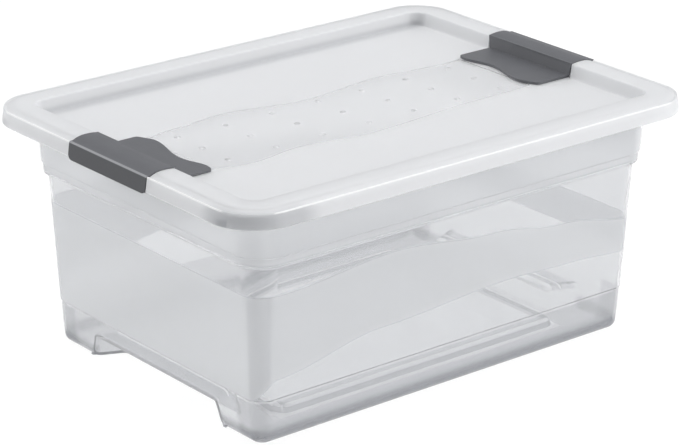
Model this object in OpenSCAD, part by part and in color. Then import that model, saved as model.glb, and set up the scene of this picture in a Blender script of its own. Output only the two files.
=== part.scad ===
// Clear storage tub with a clip-on lid: a thin moulded tub, a lid whose raised rim caps the tub's
// rolled rim, and two clips. Each clip is a flap staked to the lid and a latch that turns up about
// a thin moulded hinge on the ridge of the rim. Origin: middle of the underside, +X along the box.

/* [Lid] */
// Length of the lid over its skirt
lid_l = 395; // [360:1:430]
// Width of the lid over its skirt
lid_w = 295; // [270:1:320]
// Corner radius of the lid in plan
lid_corner = 34; // [30:1:40]
// Height of the flat panel's top above the ground
panel_z = 165; // [150:1:220]
// Wall of the lid
lid_wall = 2; // [1.6:0.1:2.4]
// Width of the raised rim, from the skirt to the riser's top
rim_w = 23.5; // [22:0.5:26]
// Height of the rim's sharp outer edge above the panel
rim_h = 9.1; // [8:0.1:12]
// Height of the rim's rounded crown above its outer edge
crown_h = 1.8; // [1:0.1:2.5]
// How far the crown has dropped again where it meets the riser
crown_drop = 0.7; // [0.4:0.1:1.2]
// Depth of the skirt's foot below the panel's top
skirt_drop = 1.5; // [1:0.1:3]
// How far the skirt flares out from its top to its foot
skirt_flare = 1.5; // [0.5:0.1:2.5]
// How far the riser leans in from its top to the panel
riser_lean = 1.2; // [0.5:0.1:2]
// Height of the raised bumps on the clear band
bump_h = 0.8; // [0.4:0.1:1.2]
// Radius of the raised bumps
bump_r = 2.3; // [1.5:0.1:3]
// Spacing of the bumps along the box
bump_pitch_x = 40; // [34:0.5:41]
// Spacing of the bumps across the box
bump_pitch_y = 28; // [20:0.5:30]
// Depth of the clear wavy band below the panel
band_depth = 0.4; // [0.2:0.1:0.8]

/* [Tub] */
// Half length of the tub at the ground
base_half_l = 162; // [150:1:163]
// Half width of the tub at the ground
base_half_w = 115.3; // [105:0.1:115.8]
// Corner radius of the tub at the ground
tub_corner = 10; // [9:1:18]
// Wall of the tub
tub_wall = 2; // [1.5:0.1:2.4]
// Floor thickness
floor_t = 2.2; // [1.8:0.1:3]
// Outward lean of the wall for each millimetre of height
draft = 0.057; // [0.03:0.001:0.06]
// Radius of the rounded bottom edge
bottom_round = 6.5; // [4:0.5:8]
// Height of the step above the plinth
plinth_z = 31; // [24:1:38]
// How far the wall steps out above the plinth
plinth_step = 0.6; // [0.2:0.1:1]
// Height where the collar starts
collar_z = 126; // [110:1:129]
// First step out of the collar
collar_step = 3.4; // [1:0.1:3.6]
// Height of the collar's second step
collar_edge_z = 134; // [133:1:145]
// Second step out of the collar
collar_edge = 1; // [0.6:0.1:1.4]
// Thickness of the rolled rim's ledge, upstand, flange and lip
rim_t = 1.8; // [1.4:0.1:2]
// Height of the raised middle of the floor
plateau_h = 7; // [4:0.5:9]
// Half length of the raised middle of the floor
plateau_half_l = 122; // [90:1:126]
// Half width of the raised middle of the floor
plateau_half_w = 86; // [70:1:90]
// Plan corner radius of the raised middle of the floor
plateau_corner = 8; // [4:1:16]

/* [Hand notches] */
// Height of the notch's roof between the feet
notch_h = 17.8; // [12:0.1:20]
// Half width of the notch at its roof
notch_half = 68.4; // [50:0.1:72]
// How much wider each side of the notch is at the ground
notch_slope = 6.6; // [3:0.1:8]
// How far the notch reaches in under the tub
notch_depth = 22; // [18:1:26]
// How much each side of the notch narrows on its way in
notch_taper = 10; // [6:1:14]

/* [Clips] */
// Width of each clip along the rim
clip_w = 87; // [70:1:100]
// Wall of the clips
clip_wall = 2; // [1.6:0.1:2.4]
// How far the clips stand proud of the lid's rim
clip_proud = 0.8; // [0.4:0.1:1.2]
// How far the latch's foot reaches below the lid's skirt
latch_drop = 1.5; // [1:0.1:2.5]
// Depth of the hook's top below the foot of the tub's lip
hook_drop = 0.8; // [0.5:0.1:1.2]
// Thickness of the thin moulded hinge
film_t = 0.6; // [0.4:0.1:0.8]
// Thickness of the flap on the panel
flap_t = 2; // [1.6:0.1:2.6]
// How much the flap's foot is narrower than the latch, at each end
flap_in = 2.2; // [0:0.1:4]
// Radius of the pegs that hold the flap to the lid
peg_r = 2; // [1.5:0.1:2.5]

/* [Clearances] */
// Gap between a clip and the lid's rim under it
clip_gap = 0.2; // [0.15:0.05:0.4]
// Gap at each end of a clip
end_gap = 0.4; // [0.3:0.05:0.6]
// Gap between the lid's skirt and the tub's lip
lip_gap = 0.9; // [0.6:0.1:1.2]
// Gap between the riser and the tub's upstand
upstand_gap = 0.6; // [0.4:0.1:1]
// Gap around a peg in its hole
peg_gap = 0.1; // [0.05:0.05:0.2]
// Gap between the hook and the outside of the tub's lip
hook_gap = 0.25; // [0.15:0.05:0.4]

/* [Hidden] */
$fn = 72;

CLEAR = [0.86, 0.88, 0.89, 0.45];
FROSTED = [0.90, 0.91, 0.91, 0.8];
GREY = [0.38, 0.39, 0.41];
over = 1;                         // how far a cut runs past the face it opens

// Heights of the lid and of what fits inside it
edge_z = panel_z + rim_h;
crown_z = edge_z + crown_h;
shoulder_z = crown_z - crown_drop;
skirt_z = panel_z - skirt_drop;
recess = clip_wall - clip_proud + clip_gap;
valley_h = 0.4;                   // depth of the shallow groove inside the rim's outer edge
ledge_drop = 1.5;                 // from the skirt's foot down to the ledge's top
rim_air = 0.5;                    // from the recessed rim down to the flange
lip_up = 1.5;                     // from the skirt's foot up to the foot of the tub's lip
ledge_z = skirt_z - ledge_drop - rim_t;
flange_z = edge_z - valley_h - lid_wall - recess - rim_air;
lip_z = skirt_z + lip_up;
foot_z = skirt_z - latch_drop;

// Plan centres of the corner arcs
lid_cx = lid_l / 2 - lid_corner;
lid_cy = lid_w / 2 - lid_corner;
tub_cx = base_half_l - tub_corner;
tub_cy = base_half_w - tub_corner;

// ---- plain geometry -------------------------------------------------------------------------

function unit(v) = v / norm(v);
function turned(v, a) = [v[0] * cos(a) - v[1] * sin(a), v[0] * sin(a) + v[1] * cos(a)];

// The arc that rounds corner b of a path a-b-c with radius r
function corner_arc(a, b, c, r, steps = 5) =
    let (u = unit(a - b), w = unit(c - b), half = acos(u * w) / 2,
         centre = b + unit(u + w) * r / sin(half),
         p = b + u * r / tan(half) - centre,
         q = b + w * r / tan(half) - centre,
         turn = (180 - 2 * half) * sign(cross(p, q)))
    [for (i = [0:steps]) centre + turned(p, turn * i / steps)];

// A closed outline whose corners have the radii given with them: [x, y, r]
function rounded(pts) =
    [for (i = [0:len(pts) - 1])
        let (n = len(pts), a = pts[(i + n - 1) % n], b = pts[i], c = pts[(i + 1) % n])
        each b[2] == 0 ? [[b[0], b[1]]]
                       : corner_arc([a[0], a[1]], [b[0], b[1]], [c[0], c[1]], b[2])];

// Height of a smooth curve through a list of [x, y], level at each of them
function wave(pts, x, i = 0) =
    i >= len(pts) - 2 || x <= pts[i + 1][0]
        ? let (s = (x - pts[i][0]) / (pts[i + 1][0] - pts[i][0]))
          pts[i][1] + (pts[i + 1][1] - pts[i][1]) * (1 - cos(180 * min(max(s, 0), 1))) / 2
        : wave(pts, x, i + 1);

module rounded_rect(half_l, half_w, r) {
    square([2 * half_l, 2 * (half_w - r)], center = true);
    square([2 * (half_l - r), 2 * half_w], center = true);
    for (sx = [-1, 1], sy = [-1, 1])
        translate([sx * (half_l - r), sy * (half_w - r)]) circle(r);
}

// A flat ring or plate between two heights
module slab(half_l, half_w, r, z0, z1) {
    translate([0, 0, z0]) linear_extrude(z1 - z0) rounded_rect(half_l, half_w, r);
}

// A wall of constant section all round the box. Section points are [distance from the corner
// centre, height].
module around(section, cx, cy) {
    for (quarter = [0:3])
        let (sx = quarter == 0 || quarter == 3 ? 1 : -1, sy = quarter < 2 ? 1 : -1)
        translate([sx * cx, sy * cy, 0])
            rotate([0, 0, quarter * 90]) rotate_extrude(angle = 90) polygon(section);
    for (side = [0, 180]) rotate([0, 0, side]) {
        translate([cx, cy, 0]) rotate([90, 0, 0]) linear_extrude(2 * cy) polygon(section);
        translate([-cx, cy, 0]) rotate([90, 0, 90]) linear_extrude(2 * cx) polygon(section);
    }
}

// A bar of constant section along the left rim, centred on the middle of the box. Section
// points are [distance in from the lid's outer edge, height].
module left_bar(section, width) {
    translate([-lid_l / 2, width / 2, 0]) rotate([90, 0, 0]) linear_extrude(width) polygon(section);
}

// ---- section of the rim ---------------------------------------------------------------------

// Distance in from the lid's outer edge to the skirt and to the riser at height z
function skirt_u(z) = skirt_flare * (z - skirt_z) / (edge_z - skirt_z);
function riser_u(z) = rim_w + riser_lean * (edge_z - z) / rim_h;

edge_w = 1;                       // flat top of the sharp outer edge
valley_w = 1.4;                   // shallow groove just inside it
crown_u0 = skirt_flare + edge_w + valley_w;
crown_mid = (crown_u0 + rim_w) / 2;

// Crown of the rim, a low arch that falls more towards the groove than towards the riser
function crown(lift) =
    [for (i = [0:8])
        let (u = crown_u0 + (rim_w - 1 - crown_u0) * i / 8,
             s = (u - crown_mid) / (crown_mid - crown_u0))
        [u, crown_z - (s < 0 ? crown_h + valley_h : crown_drop) * pow(abs(s), 2.2) + lift]];

// Rounded shoulder from the crown to the riser, then the riser down to height z
function shoulder(in, lift, z) =
    let (top = [riser_u(edge_z) - in, shoulder_z + lift],
         before = crown(lift)[8] - [in, 0],
         foot = [riser_u(z) - in, z])
    concat(corner_arc(before, top, foot, 1.2, 4), [foot]);

// Outline of the sheet under a clip's cap, from `drop` below the rim's surface to `drop + t` below
function rim_sheet(drop, t, z) =
    concat([[latch_in(edge_z) + clip_gap, crown(-drop)[0][1]]],
           [for (p = crown(-drop)) if (p[0] < rim_w - 2 - drop) p],
           shoulder(drop, -drop, z),
           [for (i = [len(shoulder(drop + t, -drop - t, z)) - 1:-1:0])
               shoulder(drop + t, -drop - t, z)[i]],
           [for (i = [8:-1:0]) if (crown(0)[i][0] < rim_w - 2 - drop - t) crown(-drop - t)[i]],
           [[latch_in(edge_z) + clip_gap, crown(-drop - t)[0][1]]]);

// ---- tub ------------------------------------------------------------------------------------

// Distance of the tub's outer face from the corner centre at height z, with its steps
function tub_r(z) = tub_corner + draft * z
    + (z > plinth_z ? plinth_step : 0)
    + (z > collar_z ? collar_step : 0)
    + (z > collar_edge_z ? collar_edge : 0);

collar_round = 1.6;               // bevel under the collar
step_run = 0.8;                   // height over which the plinth's and collar's steps run out
tub_face = concat(
    [for (a = [-90:15:0])
        [tub_r(0) - bottom_round + bottom_round * cos(a), bottom_round + bottom_round * sin(a)]],
    [[tub_r(plinth_z), plinth_z],
     [tub_r(plinth_z + step_run), plinth_z + step_run],
     [tub_r(collar_z), collar_z],
     [tub_r(collar_z + collar_step) - collar_round, collar_z + step_run],
     [tub_r(collar_z + collar_step), collar_z + step_run + collar_round],
     [tub_r(collar_edge_z), collar_edge_z],
     [tub_r(collar_edge_z + step_run), collar_edge_z + step_run],
     [tub_r(ledge_z + rim_t), ledge_z + rim_t]]);

inner_round = bottom_round - tub_wall;
tub_inside = concat(
    [for (a = [-90:15:0])
        [tub_r(0) - tub_wall - inner_round + inner_round * cos(a),
         floor_t + inner_round + inner_round * sin(a)]],
    [for (i = [7:len(tub_face) - 1]) [tub_face[i][0] - tub_wall, tub_face[i][1]]]);

wall_section = concat([[0, 0]], tub_face,
                      [for (i = [len(tub_inside) - 1:-1:0]) tub_inside[i]], [[0, floor_t]]);

// Rolled rim: upstand, flange and lip, as distances in from the lid's outer edge
upstand_u = riser_u(flange_z) - recess - lid_wall - upstand_gap;
function lip_u(z) = skirt_u(z) + lid_wall + lip_gap;
rim_section = [for (p = [
    [upstand_u, ledge_z],
    [upstand_u, flange_z],
    [lip_u(flange_z), flange_z],
    [lip_u(lip_z), lip_z],
    [lip_u(lip_z) + rim_t, lip_z],
    [lip_u(flange_z - rim_t) + rim_t, flange_z - rim_t],
    [upstand_u - rim_t, flange_z - rim_t],
    [upstand_u - rim_t, ledge_z]]) [lid_corner - p[0], p[1]]];

// Plan of the space between the feet at the left end, grown by `grow` on every side
module notch_plan(half, grow) {
    lean = grow / cos(atan(notch_taper / notch_depth));
    side = notch_taper / notch_depth;
    beyond = 20;                  // how far the cut runs on outside the tub
    corner = 6;
    x_out = -base_half_l - beyond;
    x_in = -base_half_l + notch_depth + grow;
    polygon(rounded([
        [x_out, half + lean + beyond * side, 0],
        [x_in, half + lean - notch_depth * side, corner],
        [x_in, -half - lean + notch_depth * side, corner],
        [x_out, -half - lean - beyond * side, 0]]));
}

// The space itself: its sides lean in towards the roof
module notch(grow) {
    hull() {
        translate([0, 0, -over]) linear_extrude(over) notch_plan(notch_half + notch_slope, grow);
        translate([0, 0, notch_h + grow - over]) linear_extrude(over) notch_plan(notch_half, grow);
    }
}

// What of the raised pieces lies inside the tub's outer face
module tub_core() {
    slab(tub_cx + tub_r(0) - tub_wall / 2, tub_cy + tub_r(0) - tub_wall / 2,
         tub_r(0) - tub_wall / 2, 0.5, notch_h + 2 * tub_wall);
}

module tub() {
    inner = lid_corner - upstand_u;
    color(CLEAR) difference() {
        union() {
            around(wall_section, tub_cx, tub_cy);
            translate([-tub_cx, -tub_cy, 0]) cube([2 * tub_cx, 2 * tub_cy, floor_t]);
            slab(plateau_half_l, plateau_half_w, plateau_corner, 0, plateau_h + floor_t);
            intersection() {
                tub_core();
                for (end = [0, 180]) rotate([0, 0, end]) notch(tub_wall);
            }
            difference() {
                slab(lid_cx + inner + rim_t, lid_cy + inner + rim_t, inner + rim_t,
                     ledge_z, ledge_z + rim_t);
                slab(tub_cx + tub_r(ledge_z) - tub_wall, tub_cy + tub_r(ledge_z) - tub_wall,
                     tub_r(ledge_z) - tub_wall, ledge_z - over, ledge_z + rim_t + over);
            }
            around(rim_section, lid_cx, lid_cy);
        }
        slab(plateau_half_l - tub_wall, plateau_half_w - tub_wall, plateau_corner - tub_wall,
             -over, plateau_h);
        for (end = [0, 180]) rotate([0, 0, end]) notch(0);
    }
}

// ---- lid ------------------------------------------------------------------------------------

rim_skin = concat(
    [[skirt_u(skirt_z), skirt_z],
     [skirt_flare, edge_z],
     [skirt_flare + edge_w, edge_z]],
    crown(0),
    shoulder(0, 0, panel_z - lid_wall),
    [for (i = [5:-1:0]) shoulder(lid_wall, -lid_wall, panel_z - lid_wall)[i]],
    [for (i = [8:-1:0]) if (crown(0)[i][0] < rim_w - 4) crown(-lid_wall)[i]],
    [[skirt_u(edge_z - lid_wall) + lid_wall, edge_z - lid_wall - valley_h],
     [skirt_u(skirt_z) + lid_wall, skirt_z]]);
rim_skin_r = [for (p = rim_skin) [lid_corner - p[0], p[1]]];

// Bearing rib under the crown, which stands on the tub's flange
rib_u = 8;
rib_t = 1.6;
rib_section = [for (p = [[rib_u, flange_z], [rib_u + rib_t, flange_z],
                         [rib_u + rib_t, crown_z - lid_wall], [rib_u, crown_z - 1.3 * lid_wall]])
                  [lid_corner - p[0], p[1]]];

// Edges of the clear band: [distance along the box, half width there]
band_back = [[-150, 38], [-112, 43], [-72, 48], [-3, 36], [68, 44], [124, 38], [150, 39]];
band_front = [[-150, 37], [-110, 44.5], [-70, 39], [-12, 47], [90, 39.5], [125, 39], [150, 37]];
band_end = 57;                    // from the end of the lid to the end of the band
band_half = lid_l / 2 - band_end;

module band_plan() {
    polygon(concat(
        [for (i = [0:40]) let (x = band_half * (i / 20 - 1)) [x, wave(band_back, x)]],
        [for (i = [40:-1:0]) let (x = band_half * (i / 20 - 1)) [x, -wave(band_front, x)]]));
}

// Where the pegs of the left flap stand
peg_in = 15;                      // from the riser to the row of pegs
peg_spread = 0.36;                // share of the clip's width from its middle to its outer pegs
peg_places = [for (y = [-1, 0, 1]) [-lid_l / 2 + rim_w + peg_in, y * clip_w * peg_spread]];
peg_head = 1.2;
zone_w = clip_w + 2 * end_gap;

module lid() {
    foot = riser_u(panel_z - lid_wall) - lid_wall;
    color(FROSTED) difference() {
        union() {
            difference() {
                union() {
                    around(rim_skin_r, lid_cx, lid_cy);
                    around(rib_section, lid_cx, lid_cy);
                }
                for (end = [0, 180]) rotate([0, 0, end])
                    translate([-lid_l / 2 - over, -zone_w / 2, skirt_z - over])
                        cube([riser_u(panel_z) + 2 * over, zone_w, rim_h + 10]);
            }
            difference() {
                slab(lid_l / 2 - foot, lid_w / 2 - foot, lid_corner - foot,
                     panel_z - lid_wall, panel_z);
                translate([0, 0, panel_z - band_depth]) linear_extrude(band_depth + over) band_plan();
            }
            for (end = [0, 180]) rotate([0, 0, end]) left_bar(
                rim_sheet(recess, lid_wall, panel_z - lid_wall), zone_w);
            for (i = [-3:3], j = [-1:1])
                translate([i * bump_pitch_x, j * bump_pitch_y, panel_z - lid_wall / 2])
                    cylinder(r1 = bump_r, r2 = bump_r * 0.55, h = lid_wall / 2 - band_depth + bump_h);
        }
        for (end = [0, 180]) rotate([0, 0, end])
            for (place = peg_places)
                translate([place[0], place[1], panel_z - lid_wall - over])
                    cylinder(r = peg_r + peg_gap, h = lid_wall + 2 * over);
    }
}

// ---- clips ----------------------------------------------------------------------------------

// The ridge where the latch meets the flap's upright, and the axis of the thin hinge there
ridge_u = riser_u(edge_z) + clip_proud;
ridge_z = shoulder_z + clip_proud;
film_leg = 1.6;                   // how far the thin hinge reaches to each side of the ridge

// Inner edge of the flap: [place across the box, distance in from the lid's outer edge]
flap_edge = [[-44, 54.5], [-36, 56.5], [-11, 51.5], [27, 59], [44, 53]];
flap_r = 3;
flap_half = clip_w / 2 - flap_in;

// Faces of the clip: the one that shows and the one against the lid
function upright_u(z) = riser_u(z) + clip_proud;
function latch_out(z) = skirt_u(z) - clip_proud / 2;
function latch_in(z) = latch_out(z) + clip_wall;
inner_z = ridge_z - clip_wall;    // height of the mitre's inner end
inner_u = upright_u(inner_z) - clip_wall;

upright_section = [
    [upright_u(panel_z), panel_z],
    [upright_u(ridge_z - film_leg), ridge_z - film_leg],
    [upright_u(ridge_z - film_leg) - film_t, ridge_z - film_leg],
    [ridge_u - film_t, ridge_z - film_t],
    [inner_u, inner_z],
    [upright_u(panel_z) - clip_wall, panel_z]];

film_section = [
    [upright_u(ridge_z - film_leg), ridge_z - film_leg],
    [ridge_u, ridge_z],
    [ridge_u - film_leg, ridge_z],
    [ridge_u - film_leg, ridge_z - film_t],
    [ridge_u - film_t, ridge_z - film_t],
    [upright_u(ridge_z - film_leg) - film_t, ridge_z - film_leg]];

// The hook stops just outside the tub's lip, a little below its foot
hook_u = lip_u(lip_z) - hook_gap;
hook_z = lip_z - hook_drop;

latch_section = concat(
    [[ridge_u - film_t, ridge_z - film_t],
     [ridge_u - film_leg, ridge_z - film_t],
     [ridge_u - film_leg, ridge_z]],
    [for (i = [7:-1:0]) crown(clip_proud)[i]],
    corner_arc(crown(clip_proud)[0], [latch_out(edge_z), edge_z + clip_proud / 2],
               [latch_out(foot_z), foot_z], 1.2),
    corner_arc([latch_out(edge_z), edge_z], [latch_out(foot_z), foot_z], [hook_u, foot_z], 0.8),
    [[hook_u, foot_z],
     [hook_u, hook_z],
     [latch_in(hook_z + hook_gap), hook_z + hook_gap],
     [latch_in(edge_z), crown(clip_proud - clip_wall)[0][1]]],
    [for (i = [0:8]) if (crown(0)[i][0] < inner_u - 0.5) crown(clip_proud - clip_wall)[i]],
    [[inner_u, inner_z]]);

module left_flap() {
    outer = upright_u(panel_z) - clip_wall / 2;
    x = -lid_l / 2;
    color(GREY) {
        translate([0, 0, panel_z]) linear_extrude(flap_t) polygon(rounded(concat(
            [[x + outer, flap_half, 0], [x + outer, -flap_half, 0],
             [x + wave(flap_edge, -flap_half), -flap_half, flap_r]],
            [for (i = [2:22]) let (y = flap_half * (i / 12 - 1)) [x + wave(flap_edge, y), y, 0]],
            [[x + wave(flap_edge, flap_half), flap_half, flap_r]])));
        intersection() {
            left_bar(upright_section, clip_w);
            translate([x, 0, 0]) rotate([90, 0, 90]) linear_extrude(ridge_u + over)
                polygon([[-flap_half, panel_z], [flap_half, panel_z],
                         [clip_w / 2, ridge_z - film_leg], [clip_w / 2, ridge_z],
                         [-clip_w / 2, ridge_z], [-clip_w / 2, ridge_z - film_leg]]);
        }
        for (place = peg_places) translate([place[0], place[1], panel_z - lid_wall - peg_head]) {
            cylinder(r = peg_r, h = lid_wall + peg_head + flap_t / 2);
            cylinder(r1 = peg_r, r2 = peg_r * 1.6, h = peg_head);
        }
    }
}

module left_hinge() {
    color(GREY) left_bar(film_section, clip_w);
}

module left_latch() {
    top = crown_z + 2 * clip_proud;
    color(GREY) intersection() {
        left_bar(latch_section, clip_w);
        translate([-lid_l / 2 - over, 0, 0]) rotate([90, 0, 90]) linear_extrude(ridge_u + 2 * over)
            polygon(rounded([[-clip_w / 2, foot_z, 5], [clip_w / 2, foot_z, 5],
                             [clip_w / 2, top, 0], [-clip_w / 2, top, 0]]));
    }
}

module at_right() {
    rotate([0, 0, 180]) children();
}

tub();
lid();
left_flap();  // left_clip_flap
left_hinge();  // left_clip_hinge
left_latch();  // left_clip_latch
at_right() left_flap();  // right_clip_flap
at_right() left_hinge();  // right_clip_hinge
at_right() left_latch();  // right_clip_latch
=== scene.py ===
import math

import bmesh
import bpy
from mathutils import Matrix, Vector


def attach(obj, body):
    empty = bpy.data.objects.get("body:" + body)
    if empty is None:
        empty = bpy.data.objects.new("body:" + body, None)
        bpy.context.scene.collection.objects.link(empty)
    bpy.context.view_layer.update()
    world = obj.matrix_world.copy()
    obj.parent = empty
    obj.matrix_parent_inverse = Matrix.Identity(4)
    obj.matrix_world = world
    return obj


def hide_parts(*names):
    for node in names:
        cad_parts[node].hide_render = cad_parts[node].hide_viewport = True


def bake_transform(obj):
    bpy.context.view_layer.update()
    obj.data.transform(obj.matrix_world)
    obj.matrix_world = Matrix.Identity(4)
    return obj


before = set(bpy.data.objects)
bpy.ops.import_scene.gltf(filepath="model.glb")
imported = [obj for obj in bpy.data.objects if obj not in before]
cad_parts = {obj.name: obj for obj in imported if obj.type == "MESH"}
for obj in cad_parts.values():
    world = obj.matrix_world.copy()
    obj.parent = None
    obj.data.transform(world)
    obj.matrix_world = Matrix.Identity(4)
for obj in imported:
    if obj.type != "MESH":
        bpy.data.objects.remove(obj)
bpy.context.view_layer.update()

# ---- Camera ----------------------------------------------------------------------------------
# A long lens a little above the box, looking at its front left corner. Its place was worked out
# from the straight edges of the lid and the outline of the tub.
AZIMUTH, ELEVATION, ROLL = (math.radians(a) for a in (-39.117, 20.997, 0.222))
AIM = Vector((0, 0, 0.092))
DISTANCE, ASIDE, ABOVE = 2.02864, 0.001643, 0.008193
FOCAL_PX, FRAME_PX, SENSOR_MM = 2913.7, 680, 36

back = Vector((math.sin(AZIMUTH) * math.cos(ELEVATION),
               -math.cos(AZIMUTH) * math.cos(ELEVATION), math.sin(ELEVATION)))
level = Vector((math.cos(AZIMUTH), math.sin(AZIMUTH), 0))
upright = back.cross(level)
right = math.cos(ROLL) * level + math.sin(ROLL) * upright
up = -math.sin(ROLL) * level + math.cos(ROLL) * upright
camera = bpy.data.objects.new("camera", bpy.data.cameras.new("camera"))
bpy.context.scene.collection.objects.link(camera)
camera.location = AIM + back * DISTANCE - right * ASIDE - up * ABOVE
camera.rotation_euler = Matrix((right, up, back)).transposed().to_euler()
camera.data.sensor_width = SENSOR_MM
camera.data.lens = FOCAL_PX / FRAME_PX * SENSOR_MM
bpy.context.scene.camera = camera
bpy.context.scene.view_settings.view_transform = "Standard"

# ---- Tub -------------------------------------------------------------------------------------
# One injection moulding of clear polypropylene, with a frosted belt between two wavy edges.
# Its floor has a raised middle, its feet are notched at both ends for the hands, and its walls
# step out twice below a rolled rim.
MM = 0.001
CORNER_STEPS = 16
BASE_L, BASE_W, BASE_R = 162, 115.3, 10       # half length, half width and corner at the ground
WALL, FLOOR, DRAFT, BOTTOM_R = 2, 2.2, 0.057, 6.5
PLINTH_Z, PLINTH_STEP = 31, 0.6
COLLAR_Z, COLLAR_STEP, COLLAR_R = 126, 3.4, 1.8
COLLAR_EDGE_Z, COLLAR_EDGE = 134, 1
STEP_RUN = 1.4                                # height of a soft step of the wall
LID_L, LID_W, LID_R = 197.5, 147.5, 34        # half length, half width and corner of the lid
LEDGE_Z, LIP_Z, FLANGE_Z, RIM_T = 160.2, 165, 169.8, 1.8
LIP_U, LIP_LEAN, UPSTAND_U = 3.1, 0.7, 20.07  # distances in from the lid's outer edge
LEDGE_L, LEDGE_W, LEDGE_R = 178.4, 129.5, 16  # half length, half width and corner of the ledge
INSIDE_W = 127.4                              # half width between the upper walls
PLATEAU_L, PLATEAU_W, PLATEAU_R, PLATEAU_H = 122, 86, 8, 7
NOTCH_H, NOTCH_HALF, NOTCH_SLOPE = 17.8, 68.4, 6.6
NOTCH_DEPTH, NOTCH_TAPER, NOTCH_R, NOTCH_REACH = 22, 10, 6, 20


def arc(u, z, r, first, last, steps=6):
    """Points [u, z] of a round edge, angles in degrees"""
    turns = [math.radians(first + (last - first) * i / steps) for i in range(steps + 1)]
    return [(u + r * math.cos(a), z + r * math.sin(a)) for a in turns]


def loop(half_l, half_w, r, z):
    """A level loop round the box with rounded corners"""
    points = []
    for quarter, (sx, sy) in enumerate(((1, 1), (-1, 1), (-1, -1), (1, -1))):
        for i in range(CORNER_STEPS + 1):
            a = math.pi / 2 * (quarter + i / CORNER_STEPS)
            points.append((sx * (half_l - r) + r * math.cos(a),
                           sy * (half_w - r) + r * math.sin(a), z))
    return points


def mesh_piece(name, verts, faces):
    """An object from points in millimetres, its faces turned outwards"""
    mesh = bpy.data.meshes.new(name)
    mesh.from_pydata([Vector(v) * MM for v in verts], [], faces)
    work = bmesh.new()
    work.from_mesh(mesh)
    bmesh.ops.recalc_face_normals(work, faces=work.faces)
    work.to_mesh(mesh)
    work.free()
    piece = bpy.data.objects.new(name, mesh)
    bpy.context.scene.collection.objects.link(piece)
    return piece


def stacked(name, loops, closed=False):
    """A closed surface through loops of equal length, capped at both ends unless it is a ring"""
    n = len(loops[0])
    faces = []
    for i in range(len(loops) if closed else len(loops) - 1):
        a, b = i * n, (i + 1) % len(loops) * n
        faces += [(a + j, a + (j + 1) % n, b + (j + 1) % n, b + j) for j in range(n)]
    if not closed:
        faces += [tuple(range(n)), tuple(range((len(loops) - 1) * n, len(loops) * n))]
    return mesh_piece(name, [p for points in loops for p in points], faces)


def settle(piece):
    """Applies the piece's modifiers and drops them"""
    result = bpy.data.meshes.new_from_object(
        piece.evaluated_get(bpy.context.evaluated_depsgraph_get()))
    piece.modifiers.clear()
    piece.data = result
    return piece


def joined(piece, operation, tools):
    """The piece with other closed shapes added, cut away or kept in common"""
    for tool in tools:
        fit = piece.modifiers.new("fit", "BOOLEAN")
        fit.solver = "MANIFOLD"
        fit.operation = operation
        fit.object = tool
    settle(piece)
    for tool in tools:
        bpy.data.objects.remove(tool)
    return piece


def shaded(piece, angle=32):
    """Smooth shading that keeps flat faces flat and edges crisp"""
    piece.data.shade_smooth()
    piece.data.set_sharp_from_angle(angle=math.radians(angle))
    weigh = piece.modifiers.new("weigh", "WEIGHTED_NORMAL")
    weigh.keep_sharp = True
    weigh.weight = 80
    return settle(piece)


def step(z, low, rise, run):
    """How far a soft step of the wall has come out at height z"""
    t = min(max((z - low) / run, 0), 1)
    return rise * t * t * (3 - 2 * t)


def wall_out(z):
    """How far out the wall is at height z, past the ground outline"""
    return (DRAFT * z + step(z, PLINTH_Z, PLINTH_STEP, STEP_RUN)
            + step(z, COLLAR_EDGE_Z, COLLAR_EDGE, STEP_RUN))


def tub_loop(out, z, most_w=math.inf):
    return loop(BASE_L + out, min(BASE_W + out, most_w), BASE_R + out, z)


def rim_loop(u, z):
    return loop(LID_L - u, LID_W - u, LID_R - u, z)


soft_steps = [PLINTH_Z + STEP_RUN / 4 * i for i in range(5)]
soft_edge = [COLLAR_EDGE_Z + STEP_RUN / 4 * i for i in range(5)]
outer = arc(-BOTTOM_R, BOTTOM_R, BOTTOM_R, -90, 0, 10)
outer += [(wall_out(z), z) for z in [16] + soft_steps + [COLLAR_Z - 40, COLLAR_Z - 0.5]]
collar_u = wall_out(COLLAR_Z) + COLLAR_STEP
outer += [(wall_out(COLLAR_Z) + 0.2, COLLAR_Z - 0.1), (wall_out(COLLAR_Z) + 0.6, COLLAR_Z + 0.1)]
outer += arc(collar_u - COLLAR_R, COLLAR_Z + 0.3 + COLLAR_R, COLLAR_R, -80, 0)
outer += [(wall_out(z) + COLLAR_STEP, z) for z in soft_edge + [LEDGE_Z - 1.4]]

inner = [(wall_out(z) + COLLAR_STEP - WALL, z)
         for z in [LEDGE_Z + RIM_T - 0.6, 150] + soft_edge[::-1]]
inner += [(collar_u - WALL, COLLAR_Z + 3.4), (collar_u - WALL - 0.8, COLLAR_Z + 2.2)]
inner += [(wall_out(z) - WALL, z) for z in [COLLAR_Z + 1.6, 86] + soft_steps[::-1] + [16]]
inner += arc(-BOTTOM_R, BOTTOM_R + FLOOR - WALL, BOTTOM_R - WALL, 0, -90, 8)

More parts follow.
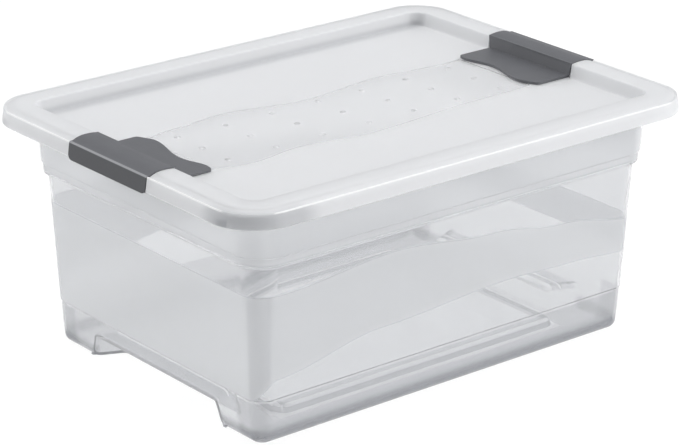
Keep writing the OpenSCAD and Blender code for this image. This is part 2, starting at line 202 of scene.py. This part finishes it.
flange_under = FLANGE_Z - RIM_T
rim = [(UPSTAND_U - RIM_T + 0.1, LEDGE_Z + 2), (UPSTAND_U - RIM_T, flange_under - 0.8)]
rim += [(UPSTAND_U - RIM_T - 0.8, flange_under), (LIP_U + LIP_LEAN + RIM_T + 0.8, flange_under)]
rim += [(LIP_U + LIP_LEAN + RIM_T, flange_under - 0.8), (LIP_U + RIM_T, LIP_Z + 0.5)]
rim += arc(LIP_U + RIM_T / 2, LIP_Z + RIM_T / 2, RIM_T / 2, 0, -180, 8)
rim += arc(LIP_U + LIP_LEAN + 1.1, FLANGE_Z - 1, 1, 180, 90)
rim += [(UPSTAND_U - 0.6, FLANGE_Z), (UPSTAND_U - 0.15, FLANGE_Z - 0.2)]
rim += [(UPSTAND_U, FLANGE_Z - 0.7), (UPSTAND_U, LEDGE_Z + RIM_T)]

tub = stacked("tub_body", [tub_loop(o, z) for o, z in outer]
              + [loop(LEDGE_L, LEDGE_W, LEDGE_R, LEDGE_Z - 0.1),
                 loop(LEDGE_L + 0.7, LEDGE_W + 0.1, LEDGE_R, LEDGE_Z + 0.6)]
              + [loop(LID_L - u, max(LID_W - u, LEDGE_W + 0.1), LID_R - u, z) for u, z in rim[:2]]
              + [rim_loop(u, z) for u, z in rim[2:]]
              + [tub_loop(o, z, INSIDE_W) for o, z in inner])


def corner(a, b, c, r, steps=6):
    """The arc that rounds corner b of a path a-b-c"""
    a, b, c = Vector(a), Vector(b), Vector(c)
    to_a, to_c = (a - b).normalized(), (c - b).normalized()
    half = to_a.angle(to_c) / 2
    centre = b + (to_a + to_c).normalized() * r / math.sin(half)
    p = b + to_a * r / math.tan(half) - centre
    q = b + to_c * r / math.tan(half) - centre
    turn = math.copysign(math.pi - 2 * half, p.x * q.y - p.y * q.x)
    return [tuple(centre + Matrix.Rotation(turn * i / steps, 2) @ p) for i in range(steps + 1)]


def notch_loop(end, half, grow, z):
    """Plan of the space between the feet at one end, grown on every side"""
    side = NOTCH_TAPER / NOTCH_DEPTH
    lean = grow / math.cos(math.atan(side))
    x_out, x_in = BASE_L + NOTCH_REACH, BASE_L - NOTCH_DEPTH - grow
    wide, narrow = half + lean + NOTCH_REACH * side, half + lean - NOTCH_DEPTH * side
    bend = corner((x_out, wide), (x_in, narrow), (x_in, 0), NOTCH_R, 8)
    half_loop = [(x_out, wide)] + bend
    points = half_loop + [(x, -y) for x, y in half_loop[::-1]]
    return [(end * x, end * y, z) for x, y in points]


def notch_block(name, end, grow, top, edge_r, foot):
    """The space between the feet with a rounded roof"""
    def half(z):
        return NOTCH_HALF + NOTCH_SLOPE * (1 - z / NOTCH_H)
    loops = [notch_loop(end, half(foot), grow + 0.6, foot), notch_loop(end, half(4), grow + 0.3, 4)]
    loops += [notch_loop(end, half(z), grow - edge_r + u, z)
              for u, z in arc(0, top - edge_r, edge_r, 0, 90)]
    return stacked(name, loops)


def core():
    """The low part of the tub, to the middle of its walls, which trims the humps"""
    return stacked("core", [tub_loop(wall_out(z) - WALL / 2, z) for z in (0.9, 6, 12, 24)])


def plateau_block(name, grow, top, edge_r, foot):
    """The raised middle of the floor, with a flared foot and a rounded edge"""
    profile = [(3.2, foot), (2.6, foot + 0.25), (2.0, foot + 0.9), (1.5, foot + 2)]
    profile += [(u - edge_r + 0.6, z) for u, z in arc(0, top - edge_r, edge_r, 10, 90)]
    loops = [loop(PLATEAU_L + u + grow, PLATEAU_W + u + grow, PLATEAU_R + u + grow, z)
             for u, z in [(3.2, foot - 1.4)] + profile]
    return stacked(name, loops)


humps = [joined(notch_block("hump", end, WALL, NOTCH_H + WALL, 3, 0.5), "INTERSECT", [core()])
         for end in (1, -1)]
joined(tub, "UNION", humps + [plateau_block("plateau", 0, PLATEAU_H + FLOOR, 2.6, FLOOR)])
joined(tub, "DIFFERENCE", [notch_block("notch", end, 0, NOTCH_H, 1.2, -2) for end in (1, -1)]
       + [plateau_block("hollow", -WALL, PLATEAU_H, 1.6, 0)])
shaded(tub)


class Value:
    """A number that changes over a surface, for sums and products in Python"""

    def __init__(self, finish, socket):
        self.finish, self.socket = finish, socket

    def math(self, operation, *others):
        sockets = dict(enumerate((self,) + others))
        return self.finish.node("Math", {"operation": operation}, sockets)

    def __add__(self, other):
        return self.math("ADD", other)

    def __mul__(self, other):
        return self.math("MULTIPLY", other)

    def __sub__(self, other):
        return self.math("SUBTRACT", other)

    def __rsub__(self, other):
        return self * -1 + other

    __radd__, __rmul__ = __add__, __mul__

    def rise(self, low, high):
        """0 below low, 1 above high, smooth between"""
        return self.finish.node("MapRange", {"interpolation_type": "SMOOTHSTEP"},
                                {"Value": self, "From Min": low, "From Max": high})

    def curve(self, points):
        """A smooth line through points, level at each"""
        total = points[0][1]
        for (x0, y0), (x1, y1) in zip(points, points[1:]):
            total = self.rise(x0, x1) * (y1 - y0) + total
        return total


class Finish:
    """A procedural material"""

    def __init__(self, name):
        self.material = bpy.data.materials.new(name)
        self.material.use_nodes = True
        self.tree = self.material.node_tree
        self.tree.nodes.clear()
        place = self.node("TexCoord", out="Object", wrap=False)
        split = self.node("SeparateXYZ", {}, {0: place}, wrap=False).node
        self.place = place
        self.x, self.y, self.z = (Value(self, s) * 1000 for s in split.outputs)

    def node(self, kind, settings=None, sockets=None, out=0, wrap=True):
        """A node of any kind: its settings first, then values or links of its sockets"""
        new = self.tree.nodes.new("ShaderNode" + kind)
        for name, value in (settings or {}).items():
            setattr(new, name, value)
        for name, value in (sockets or {}).items():
            if isinstance(value, Value):
                value = value.socket
            if isinstance(value, bpy.types.NodeSocket):
                self.tree.links.new(value, new.inputs[name])
            else:
                new.inputs[name].default_value = value
        if out is None:
            return None
        return Value(self, new.outputs[out]) if wrap else new.outputs[out]

    def done(self, surface):
        self.node("OutputMaterial", {}, {0: surface}, None)
        return self.material


def frosted_plastic(finish, tint, milk, roughness, tone, bump, shade):
    """Clear plastic with a share of milk in it, which lets the lamps through"""
    sheet = finish.node("BsdfPrincipled", {}, {
        "Base Color": tint, "Transmission Weight": 1, "IOR": 1.45,
        "Roughness": roughness, "Normal": bump}, wrap=False)
    body = finish.node("BsdfPrincipled", {}, {
        "Base Color": tone, "Roughness": roughness, "Normal": bump}, wrap=False)
    both = finish.node("MixShader", {}, {0: milk, 1: sheet, 2: body}, wrap=False)
    through = finish.node("BsdfTransparent", {}, {0: (shade, shade, shade, 1)}, wrap=False)
    lamp = finish.node("LightPath", {}, {}, "Is Shadow Ray", wrap=False)
    return finish.done(finish.node("MixShader", {}, {0: lamp, 1: both, 2: through}, wrap=False))


def blended(finish, share, first, second):
    """A colour between two, by a share that changes over the surface"""
    return finish.node("Mix", {"data_type": "RGBA"},
                       {0: share, 6: first, 7: second}, 2, wrap=False)


# The frosted belt round the walls, between two wavy edges: [along the box, height]
BELT_FOOT = [(-172, 25), (-150, 46), (-63, 60), (50, 66), (105, 64), (165, 60)]
BELT_TOP = [(-172, 106), (-145, 106), (-55, 113), (34, 104.5), (94, 96), (165, 85)]
# Milky tones of the long sides and of the ends, the ends painted lighter as if lit; a grey for
# painted shade, and white, also used for painted highlights
SIDE_TONE, LIT_END_TONE = (0.67, 0.68, 0.695, 1), (0.8, 0.81, 0.825, 1)
SHADE_TONE, WHITE = (0.3, 0.31, 0.335, 1), (1, 1, 1, 1)

clear = Finish("clear_tub")
frost = (clear.z - clear.x.curve(BELT_FOOT)).rise(-1, 1)
frost = frost * (1 - (clear.z - clear.x.curve(BELT_TOP)).rise(-1, 1))

# Painted shade: darker and milkier at the foot and the low side walls, darker at the upright
# bends. The collar is milkier.
collar = clear.z.rise(COLLAR_Z, COLLAR_Z + 5)
along, across = clear.x.math("ABSOLUTE"), clear.y.math("ABSOLUTE")
at_end = along.rise(154, 164)
foot = across.rise(BASE_W - 7.3, BASE_W - 1.3)
foot = foot.math("MAXIMUM", along.rise(BASE_L - 6, BASE_L - 2)) * (1 - clear.z.rise(6, 13))
low = across.rise(PLATEAU_W + 4, PLATEAU_W + 10)
low = low * (1 - clear.z.rise(PLINTH_Z - 1.5, PLINTH_Z - 0.5))
bend = (along + across + clear.z * -0.08).rise(268.2, 270.8) * (1 - collar)

# Painted highlights that stand for thick edges catching the light: those of the raised floor, and
# lines along the humps over the notches, with painted shade between them and on the raised floor's
# wall: [along the box, strength]
HUMP_LINES = [(137, 0), (139, 1), (142, 1), (144, 0), (147, 0), (148.5, 0.9), (150, 0)]
plateau_z, hump_z = PLATEAU_H + FLOOR, NOTCH_H + WALL
middle = across.rise(PLATEAU_W - 2, PLATEAU_W - 1).math(
    "MAXIMUM", along.rise(PLATEAU_L - 2, PLATEAU_L - 1))
middle = middle * (1 - across.rise(PLATEAU_W + 4, PLATEAU_W + 5))
middle = middle * (1 - along.rise(PLATEAU_L + 4, PLATEAU_L + 5))
middle = middle * (1 - clear.z.rise(plateau_z + 0.1, plateau_z + 0.6))
upper = clear.z.rise(plateau_z - 2.8, plateau_z - 2)
upper = upper * (1 - clear.z.rise(plateau_z - 0.2, plateau_z))
glint = middle * (upper + 1 - clear.z.rise(FLOOR + 0.6, FLOOR + 1.2))
hump = (1 - across.rise(76, 78)) * (1 - clear.z.rise(hump_z + 0.2, hump_z + 1.2))
hump = hump * clear.z.rise(hump_z - 4.3, hump_z - 3.3)
shadow = hump * along.rise(142, 144) * (1 - along.rise(BASE_L - 4, BASE_L - 2)) * 0.5
glint = glint + hump * along.curve(HUMP_LINES)
flow = clear.node("TexNoise", {}, {"Vector": clear.place, "Scale": 60.0, "Detail": 2.0})
grain = clear.node("TexNoise", {}, {"Vector": clear.place, "Scale": 1500.0, "Detail": 2.0})
relief = clear.node("Bump", {}, {"Height": flow * 0.5 + grain * frost * 0.2, "Strength": 0.08,
                                 "Distance": 0.0004}, wrap=False)
# The milk share and the colour carry the painted shade and the painted highlights
milk = frost * 0.33 + collar * 0.23 + low * 0.14 + foot * 0.2 + 0.19
milk = (milk + middle * 0.25 + shadow * 0.3 + glint * 0.65).math("MINIMUM", 0.95)
painted_shade = (foot * 0.8 + low * 0.4 + bend * 0.18 + middle * 0.6 + shadow).math("MINIMUM", 1)
tone = blended(clear, painted_shade, blended(clear, at_end, SIDE_TONE, LIT_END_TONE), SHADE_TONE)
tone = blended(clear, glint.math("MINIMUM", 1), tone, WHITE)
tub.data.materials.clear()
tub.data.materials.append(frosted_plastic(
    clear, (0.92, 0.924, 0.935, 1), milk, frost * 0.2 + collar * 0.12 + 0.03, tone, relief, 0.9))
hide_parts("tub")
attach(tub, "tub")

# ---- Lid -------------------------------------------------------------------------------------
# One moulding of milky polypropylene: a flat panel inside a high rounded rim that caps the
# tub's rim, with a clear wavy band sunk a little into the panel and rows of bumps on it.
PANEL_Z, RIM_W, RIM_H, LID_T = 165, 23.5, 9.1, 2
CROWN_H, CROWN_DROP, CROWN_POWER = 1.8, 0.7, 2.2
SKIRT_Z, SKIRT_FLARE, RISER_LEAN = 163.5, 1.5, 1.2
EDGE_Z = PANEL_Z + RIM_H
CROWN_Z = EDGE_Z + CROWN_H
SHOULDER_Z = CROWN_Z - CROWN_DROP
EDGE_W, VALLEY_W, VALLEY_H = 1, 1.4, 0.4
CLIP_W, CLIP_T, CLIP_PROUD, CLIP_GAP, END_GAP = 87, 2, 0.8, 0.2, 0.4
RECESS = CLIP_T - CLIP_PROUD + CLIP_GAP       # how far the rim is sunk under the clips
CROWN_U = SKIRT_FLARE + EDGE_W + VALLEY_W
BAND_DEPTH, BAND_END = 0.4, 140.5
BUMP_R, BUMP_H, BUMP_PITCH_X, BUMP_PITCH_Y = 2.3, 0.8, 40, 28
BUMPS_LONG, BUMPS_WIDE = 7, 3
# Edges of the clear band: [along the box, half width there]
BAND_BACK = [(-150, 38), (-112, 43), (-72, 48), (-3, 36), (68, 44), (124, 38), (150, 39)]
BAND_FRONT = [(-150, 37), (-110, 44.5), (-70, 39), (-12, 47), (90, 39.5), (125, 39), (150, 37)]


def skirt_u(z):
    return SKIRT_FLARE * (z - SKIRT_Z) / (EDGE_Z - SKIRT_Z)


def riser_u(z):
    return RIM_W + RISER_LEAN * (EDGE_Z - z) / RIM_H


def crown(lift, steps=12):
    """The low arch on top of the rim, which falls more towards the groove than the riser"""
    middle = (CROWN_U + RIM_W) / 2
    points = []
    for i in range(steps + 1):
        u = CROWN_U + (RIM_W - 1 - CROWN_U) * i / steps
        depth = CROWN_H + VALLEY_H if u < middle else CROWN_DROP
        fall = depth * abs((u - middle) / (middle - CROWN_U)) ** CROWN_POWER
        points.append((u, CROWN_Z - fall + lift))
    return points


def shoulder(inset, lift, z, r=1.2):
    """The round from the crown down to the riser, then the riser to height z"""
    top = (riser_u(EDGE_Z) - inset, SHOULDER_Z + lift)
    before = (RIM_W - 1 - inset, crown(lift)[-1][1])
    foot = (riser_u(z) - inset, z)
    return corner(before, top, foot, r) + [foot]


panel_u = riser_u(PANEL_Z)
over = [(panel_u + 3, PANEL_Z), (panel_u + 0.9, PANEL_Z + 0.05), (panel_u + 0.3, PANEL_Z + 0.3)]
over += [(riser_u(PANEL_Z + 1), PANEL_Z + 1)] + shoulder(0, 0, PANEL_Z + 2)[::-1] + crown(0)[::-1]
over += [(CROWN_U - 0.5, EDGE_Z - VALLEY_H - 0.02), (CROWN_U - 1, EDGE_Z - VALLEY_H + 0.16)]
over += corner((CROWN_U - 1, EDGE_Z - VALLEY_H + 0.16), (SKIRT_FLARE, EDGE_Z + 0.12),
               (skirt_u(EDGE_Z - 3), EDGE_Z - 3), 0.55)
over += [(skirt_u(EDGE_Z - 3), EDGE_Z - 3)]
under = arc(skirt_u(SKIRT_Z) + 1, SKIRT_Z + 1, 1, 180, 360, 8)
under += [(skirt_u(EDGE_Z - 4) + LID_T, EDGE_Z - 4), (SKIRT_FLARE + LID_T, EDGE_Z - 2.8)]
under += [p for p in crown(-LID_T) if SKIRT_FLARE + LID_T < p[0] < RIM_W - 3.2]
under += shoulder(LID_T, -LID_T, PANEL_Z + 1, 0.8)
under += [(panel_u - LID_T + 0.3, PANEL_Z - LID_T + 0.6), (panel_u - LID_T + 1, PANEL_Z - LID_T)]
under += [(panel_u + 3, PANEL_Z - LID_T)]
lid = stacked("lid_body", [rim_loop(u, z) for u, z in over + under])

# Bearing rib under the crown, which stands on the tub's flange
RIB_U, RIB_T = 8, 1.6
rib = stacked("rib", [rim_loop(u, z) for u, z in (
    (RIB_U, FLANGE_Z + 0.02), (RIB_U + RIB_T, FLANGE_Z + 0.02),
    (RIB_U + RIB_T, EDGE_Z + 0.6), (RIB_U, EDGE_Z))], closed=True)


def bar(name, section, half, end):
    """A length of constant section along the rim at one end of the box"""
    n = len(section)
    verts = [(end * (LID_L - u), y, z) for y in (-half, half) for u, z in section]
    faces = [(i, (i + 1) % n, (i + 1) % n + n, i + n) for i in range(n)]
    return mesh_piece(name, verts, faces + [tuple(range(n)), tuple(range(n, 2 * n))])


def box(name, u0, u1, z0, z1, half, end):
    return bar(name, [(u0, z0), (u1, z0), (u1, z1), (u0, z1)], half, end)


def sheet_points(drop, thick):
    """Outline of the sunk part of the rim under a clip"""
    start = skirt_u(EDGE_Z) - CLIP_PROUD / 2 + CLIP_T + CLIP_GAP
    top = [p for p in crown(-drop) if p[0] < RIM_W - 2 - drop]
    low = [p for p in crown(-drop - thick) if p[0] < RIM_W - 2 - drop - thick]
    return ([(start, top[0][1])] + top + shoulder(drop, -drop, PANEL_Z - LID_T)
            + shoulder(drop + thick, -drop - thick, PANEL_Z - LID_T, 0.6)[::-1] + low[::-1]
            + [(start, low[0][1])])


def ease(points, x):
    """The smooth line through points, as the materials draw it"""
    total = points[0][1]
    for (x0, y0), (x1, y1) in zip(points, points[1:]):
        total += step(x, x0, y1 - y0, x1 - x0)
    return total


band_x = [BAND_END * (i / 60 - 1) for i in range(121)]
band_plan = [(x, ease(BAND_BACK, x)) for x in band_x]
band_plan += [(x, -ease(BAND_FRONT, x)) for x in band_x[::-1]]
band = stacked("band", [[(x, y, z) for x, y in band_plan]
                        for z in (PANEL_Z - BAND_DEPTH, PANEL_Z + 1)])

PEG_X, PEG_SPREAD, PEG_R, PEG_GAP = LID_L - RIM_W - 15, 0.36, 2, 0.1
peg_places = [(end * PEG_X, y * CLIP_W * PEG_SPREAD) for end in (-1, 1) for y in (-1, 0, 1)]
holes = []
for x, y in peg_places:
    r = PEG_R + PEG_GAP
    rims = [[(x + r * math.cos(a), y + r * math.sin(a), z)
             for a in (math.tau * i / 32 for i in range(32))] for z in (PANEL_Z - 4, PANEL_Z + 2)]
    holes.append(stacked("hole", rims))

# Rows of low round bumps on the band
bumps = bpy.data.node_groups.new("band_bumps", "GeometryNodeTree")
bumps.interface.new_socket("Bumps", in_out="OUTPUT", socket_type="NodeSocketGeometry")
bump_sizes = {"Radius": BUMP_R, "Height": BUMP_H + BAND_DEPTH,
              "Length": (BUMPS_LONG - 1) * BUMP_PITCH_X,
              "Width": (BUMPS_WIDE - 1) * BUMP_PITCH_Y, "Level": PANEL_Z - BAND_DEPTH}
sockets = {name: bumps.interface.new_socket(name, in_out="INPUT", socket_type="NodeSocketFloat")
           for name in bump_sizes}
given = bumps.nodes.new("NodeGroupInput")
milky = Finish("milky_lid")


def geometry_node(kind, links, **values):
    """A geometry node with its links and values set by the names of its sockets"""
    new = bumps.nodes.new(kind)
    for name, value in values.items():
        new.inputs[name.replace("_", " ")].default_value = value
    for name, socket in links.items():
        bumps.links.new(socket, new.inputs[name])
    return new


grid = geometry_node("GeometryNodeMeshGrid", {"Size X": given.outputs["Length"],
                                              "Size Y": given.outputs["Width"]},
                     Vertices_X=BUMPS_LONG, Vertices_Y=BUMPS_WIDE)
dome = geometry_node("GeometryNodeMeshUVSphere", {}, Segments=24, Rings=12, Radius=1.0)
size = geometry_node("ShaderNodeCombineXYZ", {"X": given.outputs["Radius"],
                                              "Y": given.outputs["Radius"],
                                              "Z": given.outputs["Height"]})
lift = geometry_node("ShaderNodeCombineXYZ", {"Z": given.outputs["Level"]})
rows = geometry_node("GeometryNodeInstanceOnPoints", {"Points": grid.outputs["Mesh"],
                                                      "Instance": dome.outputs["Mesh"],
                                                      "Scale": size.outputs[0]})
raised = geometry_node("GeometryNodeTranslateInstances",
                       {"Instances": rows.outputs[0], "Translation": lift.outputs[0]},
                       Local_Space=False)
real = geometry_node("GeometryNodeRealizeInstances", {"Geometry": raised.outputs[0]})
coated = geometry_node("GeometryNodeSetMaterial", {"Geometry": real.outputs[0]},
                       Material=milky.material)
bumps.links.new(coated.outputs[0], bumps.nodes.new("NodeGroupOutput").inputs[0])
bump_rows = mesh_piece("bump_rows", [], [])
maker = bump_rows.modifiers.new("bumps", "NODES")
maker.node_group = bumps
for name, value in bump_sizes.items():
    maker[sockets[name].identifier] = value * MM
settle(bump_rows)
bump_rows.data.materials.clear()

# The rim is cut away under the clips and carried on lower down
CUT_U = 20.5                                  # how far in the skirt is cut away
zone = CLIP_W / 2 + END_GAP
cuts = [box("rim_cut", -1, panel_u + 1, PANEL_Z, EDGE_Z + 10, zone, end) for end in (1, -1)]
cuts += [box("skirt_cut", -1, CUT_U, SKIRT_Z - 1, PANEL_Z, zone, end) for end in (1, -1)]
joined(lid, "UNION", [rib])
joined(lid, "DIFFERENCE", cuts)
joined(lid, "UNION", [bar("sunk_rim", sheet_points(RECESS, LID_T), zone, end) for end in (1, -1)])
joined(lid, "DIFFERENCE", [band] + holes)
joined(lid, "UNION", [bump_rows])
shaded(lid)

inside = 1 - (milky.y - milky.x.curve(BAND_BACK)).rise(-1.6, 0.5)
inside = inside * (1 - (milky.y * -1 - milky.x.curve(BAND_FRONT)).rise(-1.6, 0.5))
inside = inside * (1 - milky.x.math("ABSOLUTE").rise(BAND_END - 0.2, BAND_END + 0.2))
flow = milky.node("TexNoise", {}, {"Vector": milky.place, "Scale": 45.0, "Detail": 2.0})
grain = milky.node("TexNoise", {}, {"Vector": milky.place, "Scale": 1800.0, "Detail": 2.0})
relief = milky.node("Bump", {}, {"Height": flow * 0.4 + grain * (1 - inside) * 0.25,
                                 "Strength": 0.15, "Distance": 0.0004}, wrap=False)
# Painted shade along the band's edges, at the feet of the long risers and round two of the corners,
# and a painted highlight along the rim's outer edge
PANEL_TONE, BAND_TONE = (0.81, 0.815, 0.825, 1), (0.9, 0.905, 0.915, 1)
LID_SHADE_TONE = (0.4, 0.41, 0.43, 1)
along, across = milky.x.math("ABSOLUTE"), milky.y.math("ABSOLUTE")
riser = across.rise(LID_W - 34.5, LID_W - 25) * (1 - across.rise(LID_W - 22, LID_W - 21))
riser = riser * (1 - milky.z.rise(PANEL_Z + 1.5, PANEL_Z + 5))
turn = (milky.x * milky.y).rise(19500, 22500) * (1 - milky.z.rise(EDGE_Z - 1.6, EDGE_Z + 0.5))
painted_lid_shade = inside * (1 - inside) * 1.6 + riser * 0.5 + turn * 0.55
edge = along.rise(LID_L - 2.9, LID_L - 2.3).math("MAXIMUM", across.rise(LID_W - 2.9, LID_W - 2.3))
edge = edge * milky.z.rise(EDGE_Z - 1.3, EDGE_Z - 0.7)
tone = blended(milky, painted_lid_shade, blended(milky, inside, PANEL_TONE, BAND_TONE), LID_SHADE_TONE)
tone = blended(milky, edge, tone, WHITE)
lid.data.materials.clear()
lid.data.materials.append(frosted_plastic(
    milky, (0.95, 0.953, 0.96, 1), edge * 0.2 + 0.62 - inside * 0.3, 0.42 - inside * 0.34,
    tone, relief, 0.75))
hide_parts("lid")
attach(lid, "lid")

# ---- Clips -----------------------------------------------------------------------------------
# Two equal mouldings of dark grey polypropylene with a fine satin grain. Each has a flap that
# three pegs hold to the lid, and a latch that caps the rim and hooks on outside the tub's lip.
grey = Finish("grey_clip")
cloud = grey.node("TexNoise", {}, {"Vector": grey.place, "Scale": 70.0, "Detail": 3.0})
grain = grey.node("TexNoise", {}, {"Vector": grey.place, "Scale": 2600.0, "Detail": 3.0})
relief = grey.node("Bump", {}, {"Height": grain, "Strength": 0.25, "Distance": 0.0002}, wrap=False)
# Painted shade: the outward faces are darker. Painted highlight: a light line on the edge above
# them
DARK_GREY, MID_GREY = (0.11, 0.113, 0.123, 1), (0.132, 0.135, 0.147, 1)
SHADED_SIDE_GREY, HIGHLIGHT_LINE_GREY = (0.055, 0.057, 0.064, 1), (0.32, 0.325, 0.34, 1)
side = grey.x.math("ABSOLUTE").rise(LID_L - 2.7, LID_L - 1.9)
line = side * grey.z.rise(EDGE_Z - 0.8, EDGE_Z - 0.2) * (1 - grey.z.rise(EDGE_Z + 0.5, EDGE_Z + 1))
colour = blended(grey, side, blended(grey, cloud, DARK_GREY, MID_GREY), SHADED_SIDE_GREY)
skin = grey.node("BsdfPrincipled", {}, {
    "Base Color": blended(grey, line, colour, HIGHLIGHT_LINE_GREY),
    "Roughness": grain * 0.12 + 0.36, "Normal": relief}, wrap=False)
grey.done(skin)

CLIP_EDGE = 0.35                              # radius of the rounded edges of flap and latch


def softened(node, name):
    """A copy of a clip part of the frame with its edges rounded"""
    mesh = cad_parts[node].data.copy()
    work = bmesh.new()
    work.from_mesh(mesh)
    bmesh.ops.remove_doubles(work, verts=work.verts, dist=0.002 * MM)
    bmesh.ops.dissolve_limit(work, angle_limit=math.radians(1), verts=work.verts, edges=work.edges)
    sharp = [e for e in work.edges if len(e.link_faces) == 2 and e.calc_face_angle() > 0.6]
    bmesh.ops.bevel(work, geom=sharp, offset=CLIP_EDGE * MM, offset_type="OFFSET", segments=3,
                    profile=0.5, affect="EDGES", clamp_overlap=True)
    work.to_mesh(mesh)
    work.free()
    mesh.materials.clear()
    mesh.materials.append(grey.material)
    piece = bpy.data.objects.new(name, mesh)
    bpy.context.scene.collection.objects.link(piece)
    return shaded(piece, 40)


for end, side in ((-1, "left"), (1, "right")):
    flap = softened(side + "_clip_flap", side + "_flap_body")
    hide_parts(side + "_clip_flap")
    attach(flap, "lid")
    latch = softened(side + "_clip_latch", side + "_latch_body")
    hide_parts(side + "_clip_latch")
    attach(latch, side + "_latch")

# The thin hinge on the ridge between flap and latch
FILM_T, FILM_LEG = 0.6, 1.6
RIDGE_U, RIDGE_Z = riser_u(EDGE_Z) + CLIP_PROUD, SHOULDER_Z + CLIP_PROUD
film_foot = riser_u(RIDGE_Z - FILM_LEG) + CLIP_PROUD
film_out = [(film_foot, RIDGE_Z - FILM_LEG), (film_foot - 0.02, RIDGE_Z - 1.1)]
film_out += corner(film_out[-1], (RIDGE_U, RIDGE_Z), (RIDGE_U - FILM_LEG, RIDGE_Z), 0.45)
film_out += [(RIDGE_U - 1.0, RIDGE_Z), (RIDGE_U - FILM_LEG, RIDGE_Z)]
film_in = [(RIDGE_U - FILM_LEG, RIDGE_Z - FILM_T), (RIDGE_U - 1.0, RIDGE_Z - FILM_T),
           (RIDGE_U - FILM_T, RIDGE_Z - FILM_T), (film_foot - FILM_T - 0.02, RIDGE_Z - 1.1),
           (film_foot - FILM_T, RIDGE_Z - FILM_LEG)]
for end, side in ((-1, "left"), (1, "right")):
    film = bar(side + "_hinge_web", film_out + film_in, CLIP_W / 2 - 0.1, end)
    film.data.materials.append(grey.material)
    shaded(film, 40)
    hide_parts(side + "_clip_hinge")
    side + "_latch"
    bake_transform(film)

# ---- Floor, lamps and world ------------------------------------------------------------------
# A white sheet under soft light. What the camera, reflections and clear plastic see of it is
# lifted towards plain white, and the object's shadow stays on it.
FLOOR_WIDE, FLOOR_NEAR, FLOOR_FAR, FLOOR_DROP = 2200, -1700, 9000, 0.3
FLOOR_LIFT, FLOOR_GLOW, SKY_GLOW = 0.72, 1.12, 0.45
away = Vector((-back.x, -back.y, 0)).normalized()
sheet = mesh_piece("floor", [
    level * wide + away * deep - Vector((0, 0, FLOOR_DROP)) for wide, deep in (
        (-FLOOR_WIDE, FLOOR_NEAR), (FLOOR_WIDE, FLOOR_NEAR), (FLOOR_WIDE, FLOOR_FAR),
        (-FLOOR_WIDE, FLOOR_FAR))], [(0, 1, 2, 3)])
if sheet.data.polygons[0].normal.z < 0:
    sheet.data.flip_normals()
paper = Finish("white_sheet")
seen = paper.node("LightPath", {}, {}, "Is Camera Ray")
rays = seen.socket.node
for ray in ("Is Glossy Ray", "Is Transmission Ray"):
    seen = seen.math("MAXIMUM", Value(paper, rays.outputs[ray]))
matt = paper.node("BsdfPrincipled", {}, {"Base Color": (0.9, 0.9, 0.9, 1), "Roughness": 0.9},
                  wrap=False)
glow = paper.node("Emission", {}, {"Color": WHITE, "Strength": FLOOR_GLOW}, wrap=False)
sheet.data.materials.append(paper.done(
    paper.node("MixShader", {}, {0: seen * FLOOR_LIFT, 1: matt, 2: glow}, wrap=False)))

world = bpy.data.worlds.new("studio")
world.use_nodes = True
sky = world.node_tree.nodes["Background"].inputs
sky["Color"].default_value, sky["Strength"].default_value = (0.97, 0.98, 1, 1), SKY_GLOW
bpy.context.scene.world = world

# Three soft boxes: behind on the left, in front on the right, and overhead: [place, watts]
BOX_WIDE, BOX_HIGH, LAMP_AIM = 2.2, 1.3, Vector((0, 0, 0.1))
for place, watts in (((-1.6, 1.8, 0.9), 19), ((1.45, -1.9, 1.0), 33), ((0.2, 0.4, 2.4), 28)):
    lamp = bpy.data.objects.new("lamp", bpy.data.lights.new("lamp", "AREA"))
    lamp.data.shape = "RECTANGLE"
    lamp.data.size, lamp.data.size_y, lamp.data.energy = BOX_WIDE, BOX_HIGH, watts
    lamp.location = place
    lamp.rotation_euler = (LAMP_AIM - Vector(place)).to_track_quat("-Z", "Y").to_euler()
    bpy.context.scene.collection.objects.link(lamp)
bpy.context.scene.cycles.max_bounces = 16
bpy.context.scene.cycles.transmission_bounces = 16
bpy.context.scene.cycles.transparent_max_bounces = 24
